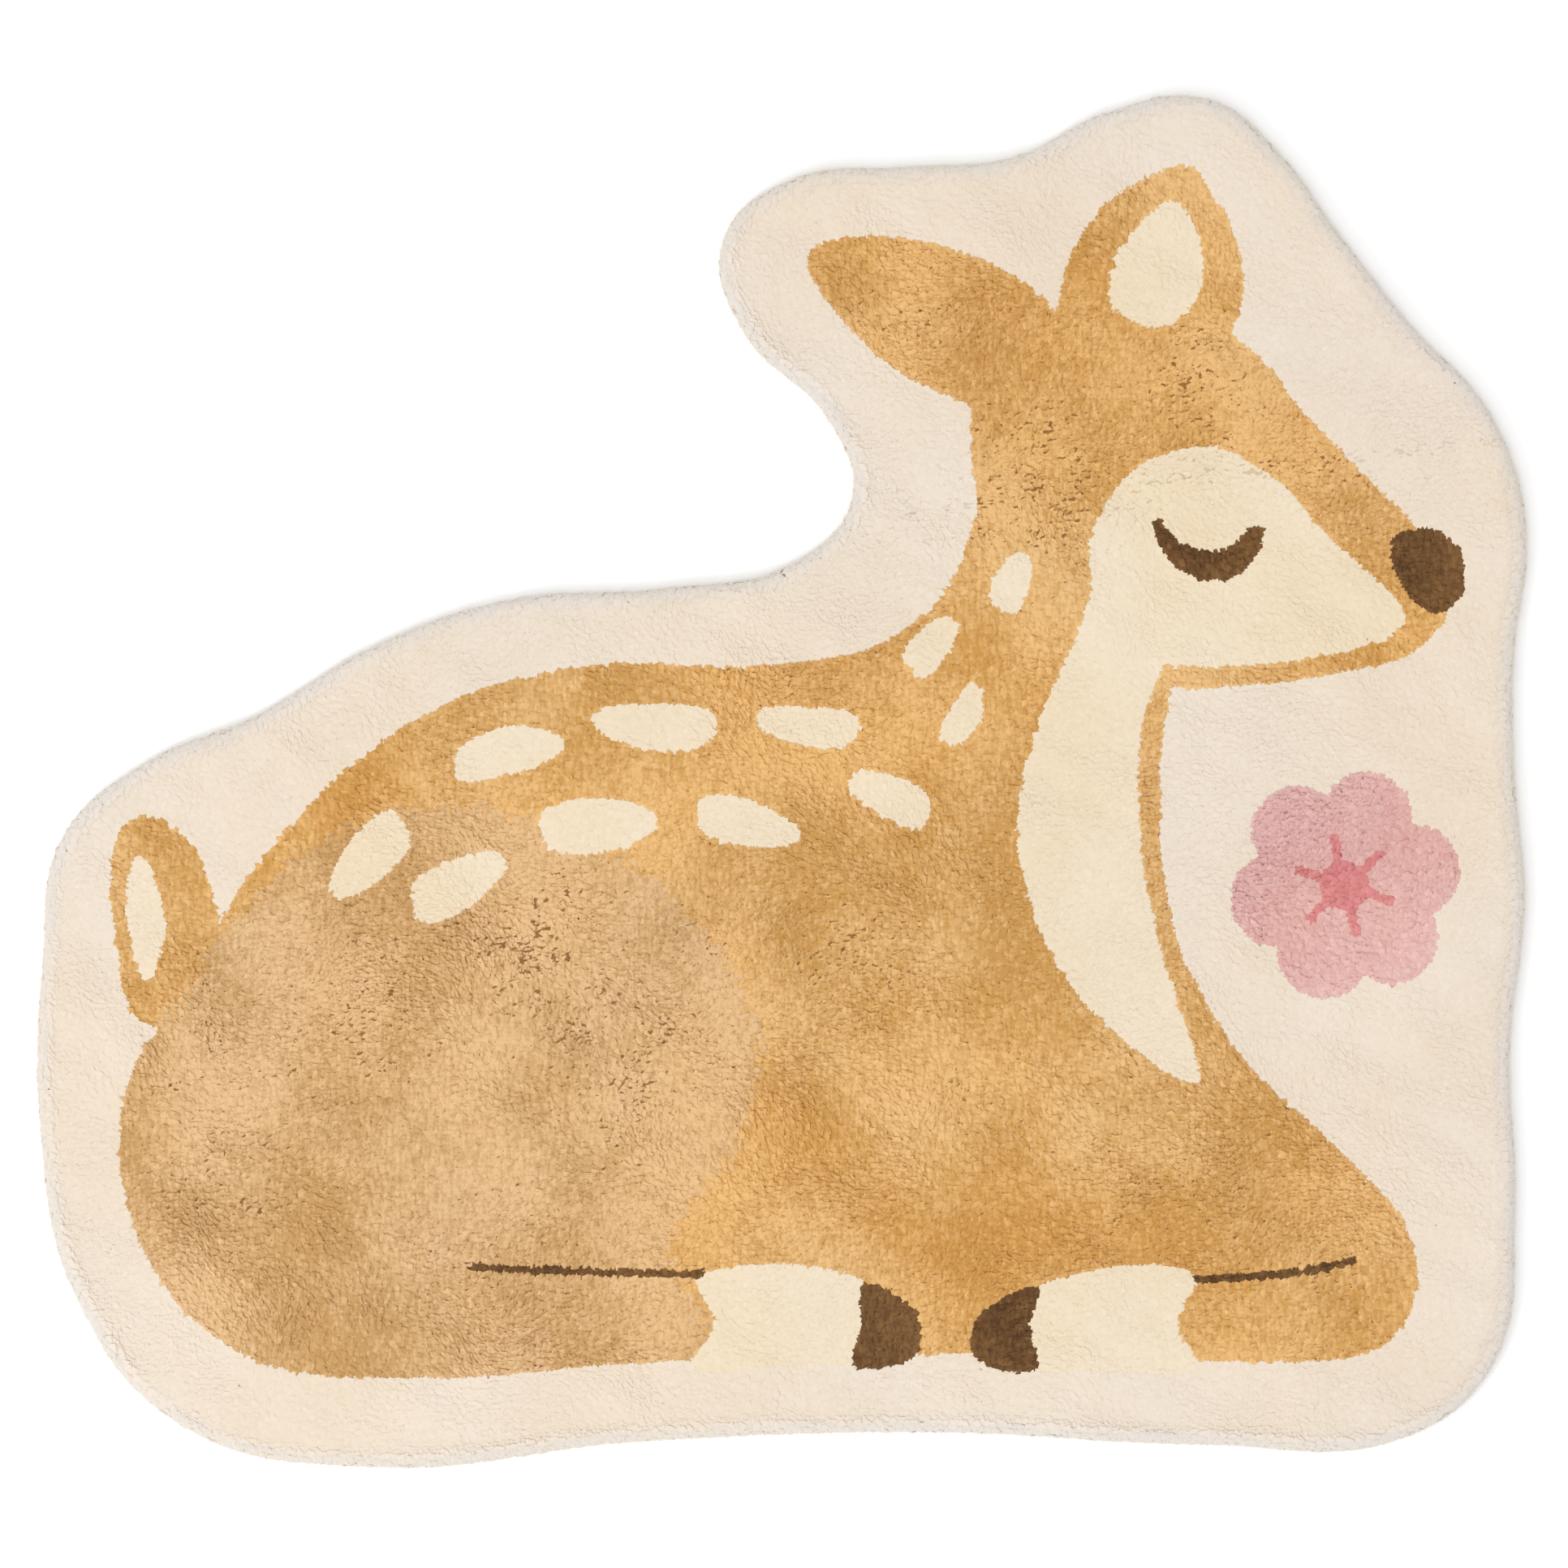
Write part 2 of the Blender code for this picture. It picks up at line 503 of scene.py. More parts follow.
def outward_from(outline):
    """The unit vector that leads out of an anticlockwise outline at each of its points."""
    way = np.roll(outline, -1, 0) - np.roll(outline, 1, 0)
    return unit(np.stack([way[:, 1], -way[:, 0]], 1))


def rim_place(edge, out, angle):
    """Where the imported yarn's side is, at an angle above level, by points on the edge."""
    middle = (PACKED + CANVAS) / 2
    along = RIM_OUT * cos(radians(angle)) - RIM_INSET
    up = middle + (PACKED - middle) * sin(radians(angle))
    return np.column_stack([edge + out * along, np.full(len(edge), up)])


def drawn_to_lines(points, spacing, rng):
    """Moves the tufts near a line of the picture, so that a row follows it on each side."""
    lines = [evenly_along(outline, LINE_STEP, 0.0) for yarn, outline in picture() if yarn != "tan"]
    on_line, across = (np.vstack(parts) for parts in zip(*lines))
    one, other = (
        yarn_at(on_line + across * side, rng) for side in (BESIDE_LINE, -BESIDE_LINE)
    )
    coat = [YARNS.index("gold"), YARNS.index("tan")]
    seen = (one != other) & ~(np.isin(one, coat) & np.isin(other, coat))
    on_line, across = on_line[seen], across[seen]
    tree = KDTree(len(on_line))
    for number, (x, y) in enumerate(on_line):
        tree.insert((x, y, 0.0), number)
    tree.balance()
    nearest = np.array([tree.find((x, y, 0.0))[1] for x, y in points])
    off = np.einsum("ij,ij->i", points - on_line[nearest], across[nearest])
    straight = np.linalg.norm(points - on_line[nearest], axis=1)
    first = spacing * ROW_OFF_LINE
    far = np.abs(off)
    wanted = np.where(far < first, first, first + (far - first) * ROW_PULL)
    wanted += rng.normal(0, RAGGED, len(points))
    moves = straight < spacing * ROW_REACH
    shift = np.where(off < 0, -1, 1) * (wanted - far) * moves
    return points + across[nearest] * shift[:, None]


def streaks(points, rng):
    """A shade from 0 to 1 for each tuft, shared by a run of stitches of one strand."""
    across = points[:, 0] + STREAK_WANDER * np.sin(points[:, 1] * STREAK_BEND)
    column = np.floor(across / STREAK_WIDTH).astype(int)
    column -= column.min()
    starts = rng.uniform(0, STREAK_LENGTH, column.max() + 1)
    row = np.floor((points[:, 1] + starts[column]) / STREAK_LENGTH).astype(int)
    row -= row.min()
    return rng.uniform(0, 1, (column.max() + 1, row.max() + 1))[column, row]


def wear_at(points):
    """How worn the pile is at each point, from 0 to 1: in patches, and along old folds."""
    wear = np.zeros(len(points))
    for x, y, spread, much in WORN_PATCHES:
        far = np.linalg.norm(points - (x, y), axis=1)
        wear = np.maximum(wear, much * np.exp(-((far / spread) ** 2) / 2))
    for x0, y0, x1, y1, spread, much in FOLD_LINES:
        far, _ = to_edge(points, np.array([(x0, y0), (x1, y1)]))
        wear = np.maximum(wear, much * np.exp(-((far / spread) ** 2) / 2))
    return wear


@lru_cache(maxsize=1)
def tufts(height, spacing, width, lean):
    """Every tuft's free end, as arrays by name: its foot, the way to its tip, half its width, how
    far below its tip that is, its yarn, shade and so on, and its place on the bake's map."""
    rng = np.random.default_rng(SEED)
    edge = backing_edge()
    root = stitches(edge.min(0), edge.max(0), spacing, rng)
    root = root[inside(root, edge)]
    far, out = to_edge(root, edge)
    crown = far > RIM_INSET
    root, far, out = root[crown], far[crown], out[crown]
    root = drawn_to_lines(root, spacing, rng)
    count = len(root)
    yarn = yarn_at(root, rng)
    pale = np.isin(yarn, [YARNS.index(name) for name in PALE_YARNS])
    even = np.where(pale, PALE_EVENNESS, 1.0)

    free = height - PACKED
    heading = radians(NAP_HEADING)
    for length, turn, _ in NAP:
        heading = heading + turn * waves(root, length, rng)
    slope = 1.0
    for length, _, more in NAP:
        slope = slope + more * waves(root, length, rng)
    slope = np.clip(lean * slope, LEAST_LEAN, MOST_LEAN) * even
    tilt = np.stack([np.cos(heading), np.sin(heading)], 1) * slope[:, None]
    tilt += rng.normal(0, TILT_ERROR, tilt.shape) * even[:, None]
    tilt += out * (RIM_SPLAY_LEAN * np.clip(1 - far / RIM_SPLAY, 0, 1))[:, None]
    tip = np.column_stack([tilt, np.ones(count)])
    longer = rng.normal(0, TIP_ERROR, count) * even
    tip *= ((free + longer) / np.linalg.norm(tip, axis=1))[:, None]
    shade = rng.normal(0.5, SHADE_SPREAD, count)
    shade += STREAK_SHADE * (streaks(root, rng) - 0.5)
    shade += CLUMP_SHADE * waves(root, CLUMP, rng, CLUMP_HILLS)
    rows = [{
        "place": np.column_stack([root, packed_height(root)]),
        "tip": tip,
        "half": width / 2 * rng.uniform(*WIDTHS, count),
        "drop": SHOULDER_DROP * even,
        "yarn": yarn,
        "shade": shade,
        "rise": np.ones(count),
        "wear": wear_at(root),
        # painted shade, greyer towards the edge
        "rim": np.exp(-far / EDGE_SHADE_FADE),
        "on_map": root,
    }]

    for row, (angle, wide, drop) in enumerate(RIM_ROWS):
        on_edge, out = evenly_along(edge, spacing * RIM_SPACING, 0.5 * (row % 2))
        on_edge = on_edge + rng.normal(0, RIM_ERROR, on_edge.shape)
        count = len(on_edge)
        angles = np.radians(angle + rng.normal(0, RIM_TURN_ERROR, count))
        way = np.column_stack([out * np.cos(angles)[:, None], np.sin(angles)])
        way += rng.normal(0, RIM_TILT_ERROR, (count, 3))
        length = free * RIM_LENGTH * rng.uniform(*RIM_LENGTHS, count)
        way *= (length / np.linalg.norm(way, axis=1))[:, None]
        rows.append({
            "place": rim_place(on_edge, out, angle),
            "tip": way,
            "half": width / 2 * wide * rng.uniform(*WIDTHS, count),
            "drop": np.full(count, drop),
            "yarn": np.full(count, YARNS.index("border")),
            "shade": rng.uniform(0, 1, count),
            # Painted shade: the lower a row of the side, the darker it is painted, and all of them
            # greyer.
            "rise": np.full(count, RIM_SHADE * (1 + sin(radians(angle))) / 2),
            "wear": np.zeros(count),
            "rim": np.ones(count),
            "on_map": on_edge + out * (spacing * (row + BAKE_RIM) - RIM_INSET),
        })

    every = {name: np.concatenate([row[name] for row in rows]) for name in rows[0]}
    tip = every["tip"]
    every["foot"] = every["place"] - tip * (SUNK / free)
    every["tip"] = tip * (1 + SUNK / free)
    every["spin"] = rng.uniform(0, tau, len(tip))
    return every


def tuft_mesh(name, ends):
    """A mesh of tufts, each with a pointed foot, four shoulders near its top and a blunt tip."""
    foot, tip = ends["foot"], ends["tip"]
    count = len(foot)
    rng = np.random.default_rng(count)
    axis = unit(tip)
    spin = ends["spin"]
    across = np.column_stack([np.cos(spin), np.sin(spin), np.full(count, SIDEWAYS)])
    across = unit(across - np.einsum("ij,ij->i", across, axis)[:, None] * axis)
    other = np.cross(axis, across)
    quarter = np.arange(4) * pi / 2
    cosines, sines = np.cos(quarter)[None, :, None], np.sin(quarter)[None, :, None]
    around = across[:, None] * cosines + other[:, None] * sines
    reach = ends["half"][:, None] * rng.uniform(1 - RAGGED_END, 1 + RAGGED_END, (count, 4))
    drop = ends["drop"][:, None] * (1 + RAGGED_DROP * rng.uniform(-1, 1, (count, 4)))
    ring = (foot + tip)[:, None] - axis[:, None] * drop[:, :, None] + around * reach[:, :, None]
    corners = np.concatenate([foot[:, None], ring, (foot + tip)[:, None]], 1).reshape(-1, 3)
    corners[:, 2] = np.maximum(corners[:, 2], OFF_FLOOR)
    # Corner 0 is the foot, 1 to 4 are the shoulders and 5 is the tip.
    top = [(1 + k, 1 + (k + 1) % 4, 5) for k in range(4)]
    side = [(1 + (k + 1) % 4, 1 + k, 0) for k in range(4)]
    faces = (np.arange(count)[:, None, None] * 6 + np.array(top + side)).reshape(-1, 3)
    mesh = bpy.data.meshes.new(name)
    mesh.vertices.add(len(corners))
    mesh.vertices.foreach_set("co", corners.astype(np.float32).ravel())
    mesh.loops.add(faces.size)
    mesh.loops.foreach_set("vertex_index", faces.astype(np.int32).ravel())
    mesh.polygons.add(len(faces))
    mesh.polygons.foreach_set("loop_start", np.arange(0, faces.size, 3, dtype=np.int32))
    mesh.polygons.foreach_set("use_smooth", np.zeros(len(faces), bool))
    of_corners = {key: np.repeat(ends[key], 6) for key in ("shade", "wear", "rim")}
    of_corners["rise"] = np.outer(ends["rise"], RISE_OF_CORNERS).ravel()
    for key, values in of_corners.items():
        layer = mesh.attributes.new(key, "FLOAT", "POINT")
        layer.data.foreach_set("value", values.astype(np.float32))
    lay_out_for_bake(mesh, ends["on_map"])
    mesh.update(calc_edges=True)
    return mesh


def lay_out_for_bake(mesh, on_map):
    """A map from above: each tuft's top round its root, and its sides folded out round that."""
    turn = np.arange(4) * pi / 2
    shoulder = BAKE_SHOULDER * np.stack([np.cos(turn), np.sin(turn)], 1)
    foot = BAKE_FOOT * np.stack([np.cos(turn + pi / 4), np.sin(turn + pi / 4)], 1)
    top = [(shoulder[k], shoulder[(k + 1) % 4], (0, 0)) for k in range(4)]
    side = [(shoulder[(k + 1) % 4], shoulder[k], foot[k]) for k in range(4)]
    places = on_map[:, None, None] + np.array(top + side)[None]
    low = places.reshape(-1, 2).min(0)
    span = np.ptp(places.reshape(-1, 2), axis=0)
    layer = mesh.uv_layers.new(name="OFBake")
    layer.uv.foreach_set("vector", ((places - low) / span).astype(np.float32).ravel())


# ---- materials ----

# Patterns of noise. Columns: features a metre, finer layers, their strength, the values where the
# pattern starts and where it is full.
# Painted light and shade of the nap, in patches where the pile lies another way.
NAP_SHADING = (7.0, 4.0, 0.54, 0.38, 0.64)  # 70 to 140 mm across
STRAND_GRAIN = (1.0, 1.0, 0.5, 0.30, 0.70)  # on a place counted in strands
PARTING_CLUSTERS = (42.0, 2.0, 0.5, 0.38, 0.60)  # 12 to 24 mm across
DYE_LOTS = (4.5, 2.0, 0.5, 0.40, 0.60)  # about 200 mm across
YARN_ENDS = (320.0, 3.0, 0.5, 0.30, 0.70)  # 3 mm across

# Strands of yarn, up and down the rug and across it. Columns: size in metres, how far one changes
# the shade.
STRANDS = (((0.0029, 0.0120, 0.1), 0.29), ((0.0100, 0.0027, 0.1), 0.15))
TUFT_SHADE = 0.5  # how much a tuft's own shade counts
SHADE_SHIFT = 0.25  # takes the middle shade back to halfway from light to deep
# Painted shade along the edge: the grey that the yarn is painted towards, and how much at most.
EDGE_SHADE_COLOUR = "#DCD5CF"
MOST_EDGE_SHADE = 0.9

PARTING = (0.0052, 0.0034, 0.1)  # length, width and depth of the noise that opens one
PARTING_TURN = 16.0  # degrees
PARTING_SPREAD = (0.40, 0.95)  # how much of the wear opens between the clusters, and in them
PARTING_WEAR = 0.26  # how much wear helps the pile to part
PARTING_FROM, PARTING_FULL = 0.735, 0.80  # noise at its rim and where it is fully open
BEND = (16.0, 3.0, 0.6)  # features a metre, finer layers, their strength
BEND_REACH = (0.022, 0.022, 0.0)
LIT_SIDE = (-0.0011, 0.0014, 0.0)  # from a parting to the ends of yarn that catch the light
LIT, DARK = 0.65, 0.95  # how strongly those ends and the parting show

CANVAS_THREAD = 0.002  # real threads are 1.2 mm apart, and these are coarser so that they show
WAVE_PACE = 20  # radians that Blender's wave texture turns in a unit, at a scale of 1
SLUB = 0.045  # length of a thicker stretch of thread


def add_node(tree, kind, settings=(), **links):
    """A node with its settings, and inputs given values or the outputs that feed them. An input
    goes by its name, or as _6 by its number."""
    node = tree.nodes.new(kind)
    for key, value in dict(settings).items():
        setattr(node, key, value)
    for key, value in links.items():
        name = int(key[1:]) if key[1:].isdigit() else key.replace("_", " ")
        socket = node.inputs[name]
        if isinstance(value, bpy.types.NodeSocket):
            tree.links.new(value, socket)
        else:
            socket.default_value = value
    return node


def new_material(name):
    """A material, its empty node tree, and the object's own coordinates in that tree."""
    material = bpy.data.materials.new(name)
    material.use_nodes = True
    tree = material.node_tree
    tree.nodes.clear()
    return material, tree, add_node(tree, "ShaderNodeTexCoord").outputs["Object"]


def attribute(tree, name, output="Fac"):
    return add_node(tree, "ShaderNodeAttribute", {"attribute_name": name}).outputs[output]


def noise(tree, place, scale=1.0, layers=2.0, strength=0.5, output="Fac"):
    links = {"Vector": place, "Scale": scale, "Detail": layers, "Roughness": strength}
    return add_node(tree, "ShaderNodeTexNoise", **links).outputs[output]


def ranged(tree, value, low, high, to_low=0.0, to_high=1.0, curve="LINEAR"):
    """The value with low to high drawn out to to_low to to_high, and held there."""
    links = {"_0": value, "_1": low, "_2": high, "_3": to_low, "_4": to_high}
    return add_node(tree, "ShaderNodeMapRange", {"interpolation_type": curve}, **links).outputs[0]


def pattern(tree, place, kind, to_low=0.0, to_high=1.0):
    """One of the patterns above, from to_low to to_high."""
    *made, start, full = kind
    return ranged(tree, noise(tree, place, *made), start, full, to_low, to_high)


def stretched(tree, place, size, turn=0.0):
    """The place counted in units of this size, on axes turned by so many degrees."""
    links = {"Vector": place, "Rotation": (0.0, 0.0, radians(turn)), "Scale": size}
    return add_node(tree, "ShaderNodeMapping", {"vector_type": "TEXTURE"}, **links).outputs[0]


def worked_out(tree, operation, *values, kind="ShaderNodeMath", **settings):
    """What the operation makes of the values, which are numbers, or vectors for a vector kind."""
    links = {f"_{number}": value for number, value in enumerate(values)}
    return add_node(tree, kind, {"operation": operation, **settings}, **links).outputs[0]


def mixed(tree, share, first, second, blend="MIX"):
    """Two colours mixed, with this share of the second."""
    settings = {"data_type": "RGBA", "blend_type": blend}
    return add_node(tree, "ShaderNodeMix", settings, _0=share, _6=first, _7=second).outputs[2]


def bumpy(tree, height, strength, distance):
    links = {"Height": height, "Strength": strength, "Distance": distance}
    return add_node(tree, "ShaderNodeBump", **links).outputs[0]


def surfaced(material, **links):
    """The material with a shader of these inputs for its surface."""
    shader = add_node(material.node_tree, "ShaderNodeBsdfPrincipled", **links)
    add_node(material.node_tree, "ShaderNodeOutputMaterial", Surface=shader.outputs[0])
    return material


def cotton_pile(name, light, deep, foot, nap_shade, strands, drift):
    """Dyed cotton yarn, tufted and cut. It gives a soft matt nap: each tuft a shade of its own,
    with painted shade down between the tufts, wide patches of painted light and shade where the
    pile lies another way, and partings where it is worn, painted dark with painted highlights
    beside them.
    Along the edge the yarn is painted greyer, for the shade on the side."""
    material, tree, place = new_material(name)
    light, deep, foot = (linear(colour) for colour in (light, deep, foot))

    # Painted light and shade: wide lighter and darker patches where the pile lies another way.
    nap_shading = pattern(tree, place, NAP_SHADING, 0.5 - nap_shade, 0.5 + nap_shade)
    shade = worked_out(tree, "MULTIPLY_ADD", attribute(tree, "shade"), TUFT_SHADE, nap_shading)
    for size, weight in STRANDS:
        much = weight * strands
        lain = pattern(tree, stretched(tree, place, size), STRAND_GRAIN, -much, much)
        shade = worked_out(tree, "ADD", shade, lain)
    shade = worked_out(tree, "SUBTRACT", shade, SHADE_SHIFT, use_clamp=True)
    yarn = mixed(tree, shade, light, deep)
    # Painted shade: along the edge, the yarn is painted greyer, for the shade on the pile's side.
    edge_shade = worked_out(tree, "MULTIPLY", attribute(tree, "rim"), MOST_EDGE_SHADE)
    yarn = mixed(tree, edge_shade, yarn, linear(EDGE_SHADE_COLOUR))
    # Painted shade: each tuft is painted darker towards its foot, for the shade down between the
    # tufts.
    height = ranged(tree, attribute(tree, "rise"), 0.25, 0.95, 0.4, 1.0, "SMOOTHSTEP")
    colour = mixed(tree, height, foot, yarn)

    # Partings are 1 to 2 mm wide and 2 to 5 mm long, and lie in clusters. Each is painted in the
    # dark colour of the tufts' feet, for the shade in it, with a painted highlight on the ends of
    # yarn beside it.
    opens = pattern(tree, place, PARTING_CLUSTERS, *PARTING_SPREAD)
    worn = worked_out(tree, "MULTIPLY", opens, attribute(tree, "wear"))
    bend = noise(tree, place, *BEND, output="Color")
    vectors = "ShaderNodeVectorMath"
    bent = worked_out(tree, "MULTIPLY_ADD", bend, BEND_REACH, place, kind=vectors)
    beside = worked_out(tree, "ADD", bent, LIT_SIDE, kind=vectors)
    for at, wanted, much in ((beside, light, LIT), (bent, foot, DARK)):
        gaps = noise(tree, stretched(tree, at, PARTING, PARTING_TURN))
        opened = worked_out(tree, "MULTIPLY_ADD", worn, PARTING_WEAR, gaps)
        parted = ranged(tree, opened, PARTING_FROM, PARTING_FULL, 0.0, much)
        colour = mixed(tree, parted, colour, wanted)

    # Yarn is dyed in lots, so its hue drifts from one part of the rug to another.
    tint = mixed(tree, pattern(tree, place, DYE_LOTS), linear("#FFF9EC"), linear("#FDFDFF"))
    colour = mixed(tree, drift, colour, tint, "MULTIPLY")

    # Cotton fibres are about 0.02 mm, too fine to show, so the fuzz is drawn at 1 mm.
    fuzz = noise(tree, place, 1000.0)
    return surfaced(
        material,
        Base_Color=colour,
        Roughness=ranged(tree, fuzz, 0.0, 1.0, 0.82, 0.98),
        IOR=1.5,
        Specular_IOR_Level=0.25,
        Sheen_Weight=0.30,
        Sheen_Roughness=0.5,
        Normal=bumpy(tree, fuzz, 0.12, 0.0004),
    )


def cotton_canvas(name):
    """Natural cotton canvas, plain woven, that the pile is tufted through. Its threads cross at
    right angles, and thicker stretches of thread show as pale slubs."""
    material, tree, place = new_material(name)
    threads, slubs = [], []
    for axis, size in (("X", (CANVAS_THREAD, SLUB, 0.01)), ("Y", (SLUB, CANVAS_THREAD, 0.01))):
        links = {"Vector": place, "Scale": tau / CANVAS_THREAD / WAVE_PACE, "Distortion": 0.6}
        wave = add_node(tree, "ShaderNodeTexWave", {"bands_direction": axis}, **links)
        threads.append(wave.outputs["Fac"])
        slubs.append(noise(tree, stretched(tree, place, size)))
    weave = worked_out(tree, "MULTIPLY", *threads)
    slub = worked_out(tree, "MAXIMUM", *slubs)
    raised = worked_out(tree, "MULTIPLY", weave, 0.5)
    pale = ranged(tree, slub, 0.52, 0.72, 0.1, 0.7)
    share = worked_out(tree, "ADD", raised, pale, use_clamp=True)
    return surfaced(
        material,
        Base_Color=mixed(tree, share, linear("#C9BA9C"), linear("#EEE6D6")),
        Roughness=ranged(tree, slub, 0.0, 1.0, 0.8, 0.95),
        Specular_IOR_Level=0.3,
        Normal=bumpy(tree, weave, 0.5, 0.0006),
    )


def packed_yarn(name):
    """Cotton yarn packed upright below the cut ends. It is matt, in each area's own colour, and
    deeper for the shade down there."""
    material, tree, place = new_material(name)
    *made, start, full = YARN_ENDS
    ends = noise(tree, place, *made)
    share = ranged(tree, ends, start, full, 0.0, 0.35)
    yarn = attribute(tree, "yarn", "Color")
    return surfaced(
        material,
        Base_Color=mixed(tree, share, yarn, linear("#E3D6C6"), "MULTIPLY"),
        Roughness=0.95,
        Normal=bumpy(tree, ends, 0.6, 0.001),
    )


def floor_paint(name, colour):
    """Matt white paint, rolled on. It gives an even, dull white whose shine hardly changes."""
    material, tree, place = new_material(name)
    rough = ranged(tree, noise(tree, place, 3.0), 0.0, 1.0, 0.85, 0.95)
    return surfaced(material, Base_Color=(*colour, 1.0), Roughness=rough, Specular_IOR_Level=0.1)


# Columns: yarn, its material slot, light shade, deep shade, painted shade at the foot of a tuft,
# how much the painted light and shade of the nap mottle it, how much single strands show, how much
# its hue drifts.
YARN_SHADES = {
    "border": ("pile_cream", "#E6D9CA", "#E0D1BD", "#CFC4B1", 0.25, 0.20, 0.30),
    "cream": ("pile_cream", "#E8DAC3", "#E2D1B5", "#CFBC9B", 0.25, 0.20, 0.35),
    "gold": ("pile_golden", "#E3B97D", "#C4934E", "#90622F", 0.43, 1.00, 1.00),
    "tan": ("pile_beige", "#DEB98A", "#BD945E", "#8D6334", 0.43, 1.00, 0.60),
    "brown": ("pile_brown", "#7E5A31", "#523415", "#3E260F", 0.32, 0.80, 0.50),
    "pink": ("pile_pink", "#E2BCB8", "#D09F9A", "#B4817C", 0.22, 0.40, 0.50),
    "rose": ("pile_pink", "#DF9495", "#C67576", "#A65657", 0.22, 0.40, 0.50),
}


# ---- settings ----


LENGTH = {"subtype": "DISTANCE", "unit": "LENGTH"}


class PileSettings(bpy.types.PropertyGroup):
    height: bpy.props.FloatProperty(
        name="Pile height", description="From the floor to the tips of the tufts",
        default=0.0157, min=0.006, max=0.04, **LENGTH,
    )
    spacing: bpy.props.FloatProperty(
        name="Tuft spacing", description="From one tuft to the next",
        default=0.00318, min=0.003, max=0.02, **LENGTH,
    )
    width: bpy.props.FloatProperty(
        name="Tuft width", description="Across a tuft near its tip",
        default=0.0080, min=0.001, max=0.02, **LENGTH,
    )
    lean: bpy.props.FloatProperty(
        name="Lean", description="How far the pile leans over, for its height",
        default=0.30, min=0.0, max=1.0, subtype="FACTOR",
    )


class StudioSettings(bpy.types.PropertyGroup):
    floor: bpy.props.FloatVectorProperty(
        name="Floor", description="Colour of the floor",
        default=linear("#FFFFFF")[:3], min=0.0, max=1.0, size=3, subtype="COLOR",
    )
    sky: bpy.props.FloatProperty(
        name="Room light", description="Strength of the light from the ceiling",
        default=0.745, min=0.0, max=5.0,
    )
    key: bpy.props.FloatProperty(
        name="Key light", description="Strength of the wide light from one side",
        default=0.76, min=0.0, max=20.0,
    )
    fill: bpy.props.FloatProperty(
        name="Fill panel", description="Power of the panel by the rump, in watts",
        default=43.0, min=0.0, max=500.0,
    )


# ---- building ----


def new_object(name, data):
    obj = bpy.data.objects.new(name, data)
    bpy.context.scene.collection.objects.link(obj)
    return obj


def pile_piece(name, yarn, low=-np.inf, high=np.inf):
    """A piece of pile: the tufts of one yarn between two heights of the picture."""
    pile = bpy.context.scene.rug_pile
    every = tufts(pile.height, pile.spacing, pile.width, pile.lean)
    height = every["foot"][:, 1]
    chosen = (every["yarn"] == YARNS.index(yarn)) & (height >= low) & (height < high)
    ends = {key: part[chosen] for key, part in every.items()}
    count = len(ends["foot"])
    if not 0 < count <= MOST_TUFTS:
        raise RuntimeError(f"{name} has {count} tufts, and it takes 1 to {MOST_TUFTS}")
    piece = new_object(name, tuft_mesh(name, ends))
    slot, *shades = YARN_SHADES[yarn]
    made = f"cut_pile_{yarn}"
    piece.data.materials.append(bpy.data.materials.get(made) or cotton_pile(made, *shades))
    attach(piece, BODY)


def in_bands(name, yarn, cuts):
    """Pieces of one yarn, parted by straight lines across the rug at these heights."""
    limits = (-np.inf, *cuts, np.inf)
    for number, (low, high) in enumerate(zip(limits, limits[1:]), 1):
        pile_piece(f"{name}_{number}", yarn, low, high)


def stacked(rings):
    """A closed bmesh through rings of as many corners, and its top face."""
    sheet = bmesh.new()
    rings = [[sheet.verts.new(corner) for corner in ring] for ring in rings]
    for lower, upper in zip(rings, rings[1:]):
        for k in range(len(lower)):
            after = (k + 1) % len(lower)
            sheet.faces.new((lower[k], lower[after], upper[after], upper[k]))
    sheet.faces.new(rings[0][::-1])
    return sheet, sheet.faces.new(rings[-1])


def cut_on_grid(sheet, geometry, spacing):
    """Cuts these faces, and the edges round them, on a square grid seen from above."""
    for axis in (0, 1):
        for at in np.arange(-PACKED_REACH, PACKED_REACH, spacing):
            way, place = [0.0] * 3, [0.0] * 3
            way[axis], place[axis] = 1.0, float(at)
            plane = {"plane_co": place, "plane_no": way, "dist": CUT_TOLERANCE}
            geometry = bmesh.ops.bisect_plane(sheet, geom=geometry, **plane)["geom"]


def finished_mesh(name, sheet):
    bmesh.ops.triangulate(sheet, faces=[face for face in sheet.faces if len(face.verts) > 4])
    bmesh.ops.recalc_face_normals(sheet, faces=sheet.faces[:])
    mesh = bpy.data.meshes.new(name)
    sheet.to_mesh(mesh)
    sheet.free()
    return mesh


def canvas_mesh(edge):
    """The backing: a thin closed sheet cut to the edge."""
    rings = [[(x, y, height) for x, y in edge] for height in (0.0, CANVAS)]
    return finished_mesh("canvas_backing", stacked(rings)[0])


def packed_mesh(edge):
    """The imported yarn: a closed slab with a rounded side and an uneven top."""
    out = outward_from(edge)
    rings = [rim_place(edge, out, angle) for angle in np.linspace(RIM_LAST, 90, RIM_STEPS)]
    foot = rings[0].copy()
    foot[:, 2] = CANVAS
    sheet, top = stacked([foot, *rings])
    cut_on_grid(sheet, [top, *top.edges, *top.verts], PACKED_GRID)
    level = [corner for corner in sheet.verts if corner.co.z > PACKED - SAME_LEVEL]
    heights = packed_height(np.array([corner.co[:2] for corner in level]))
    for corner, height in zip(level, heights):
        corner.co.z = height
    return finished_mesh("packed_pile", sheet)


class RUG_OT_lay_backing(bpy.types.Operator):
    """Cuts the canvas backing to the rug's outline"""

    bl_idname = "rug.lay_backing"
    bl_label = "Lay the backing"

    def execute(self, context):
        piece = new_object("canvas_backing", canvas_mesh(backing_edge()))
        piece.data.materials.append(cotton_canvas("cotton_canvas"))
        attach(piece, BODY)
        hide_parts(RUG_NODE)
        return {"FINISHED"}


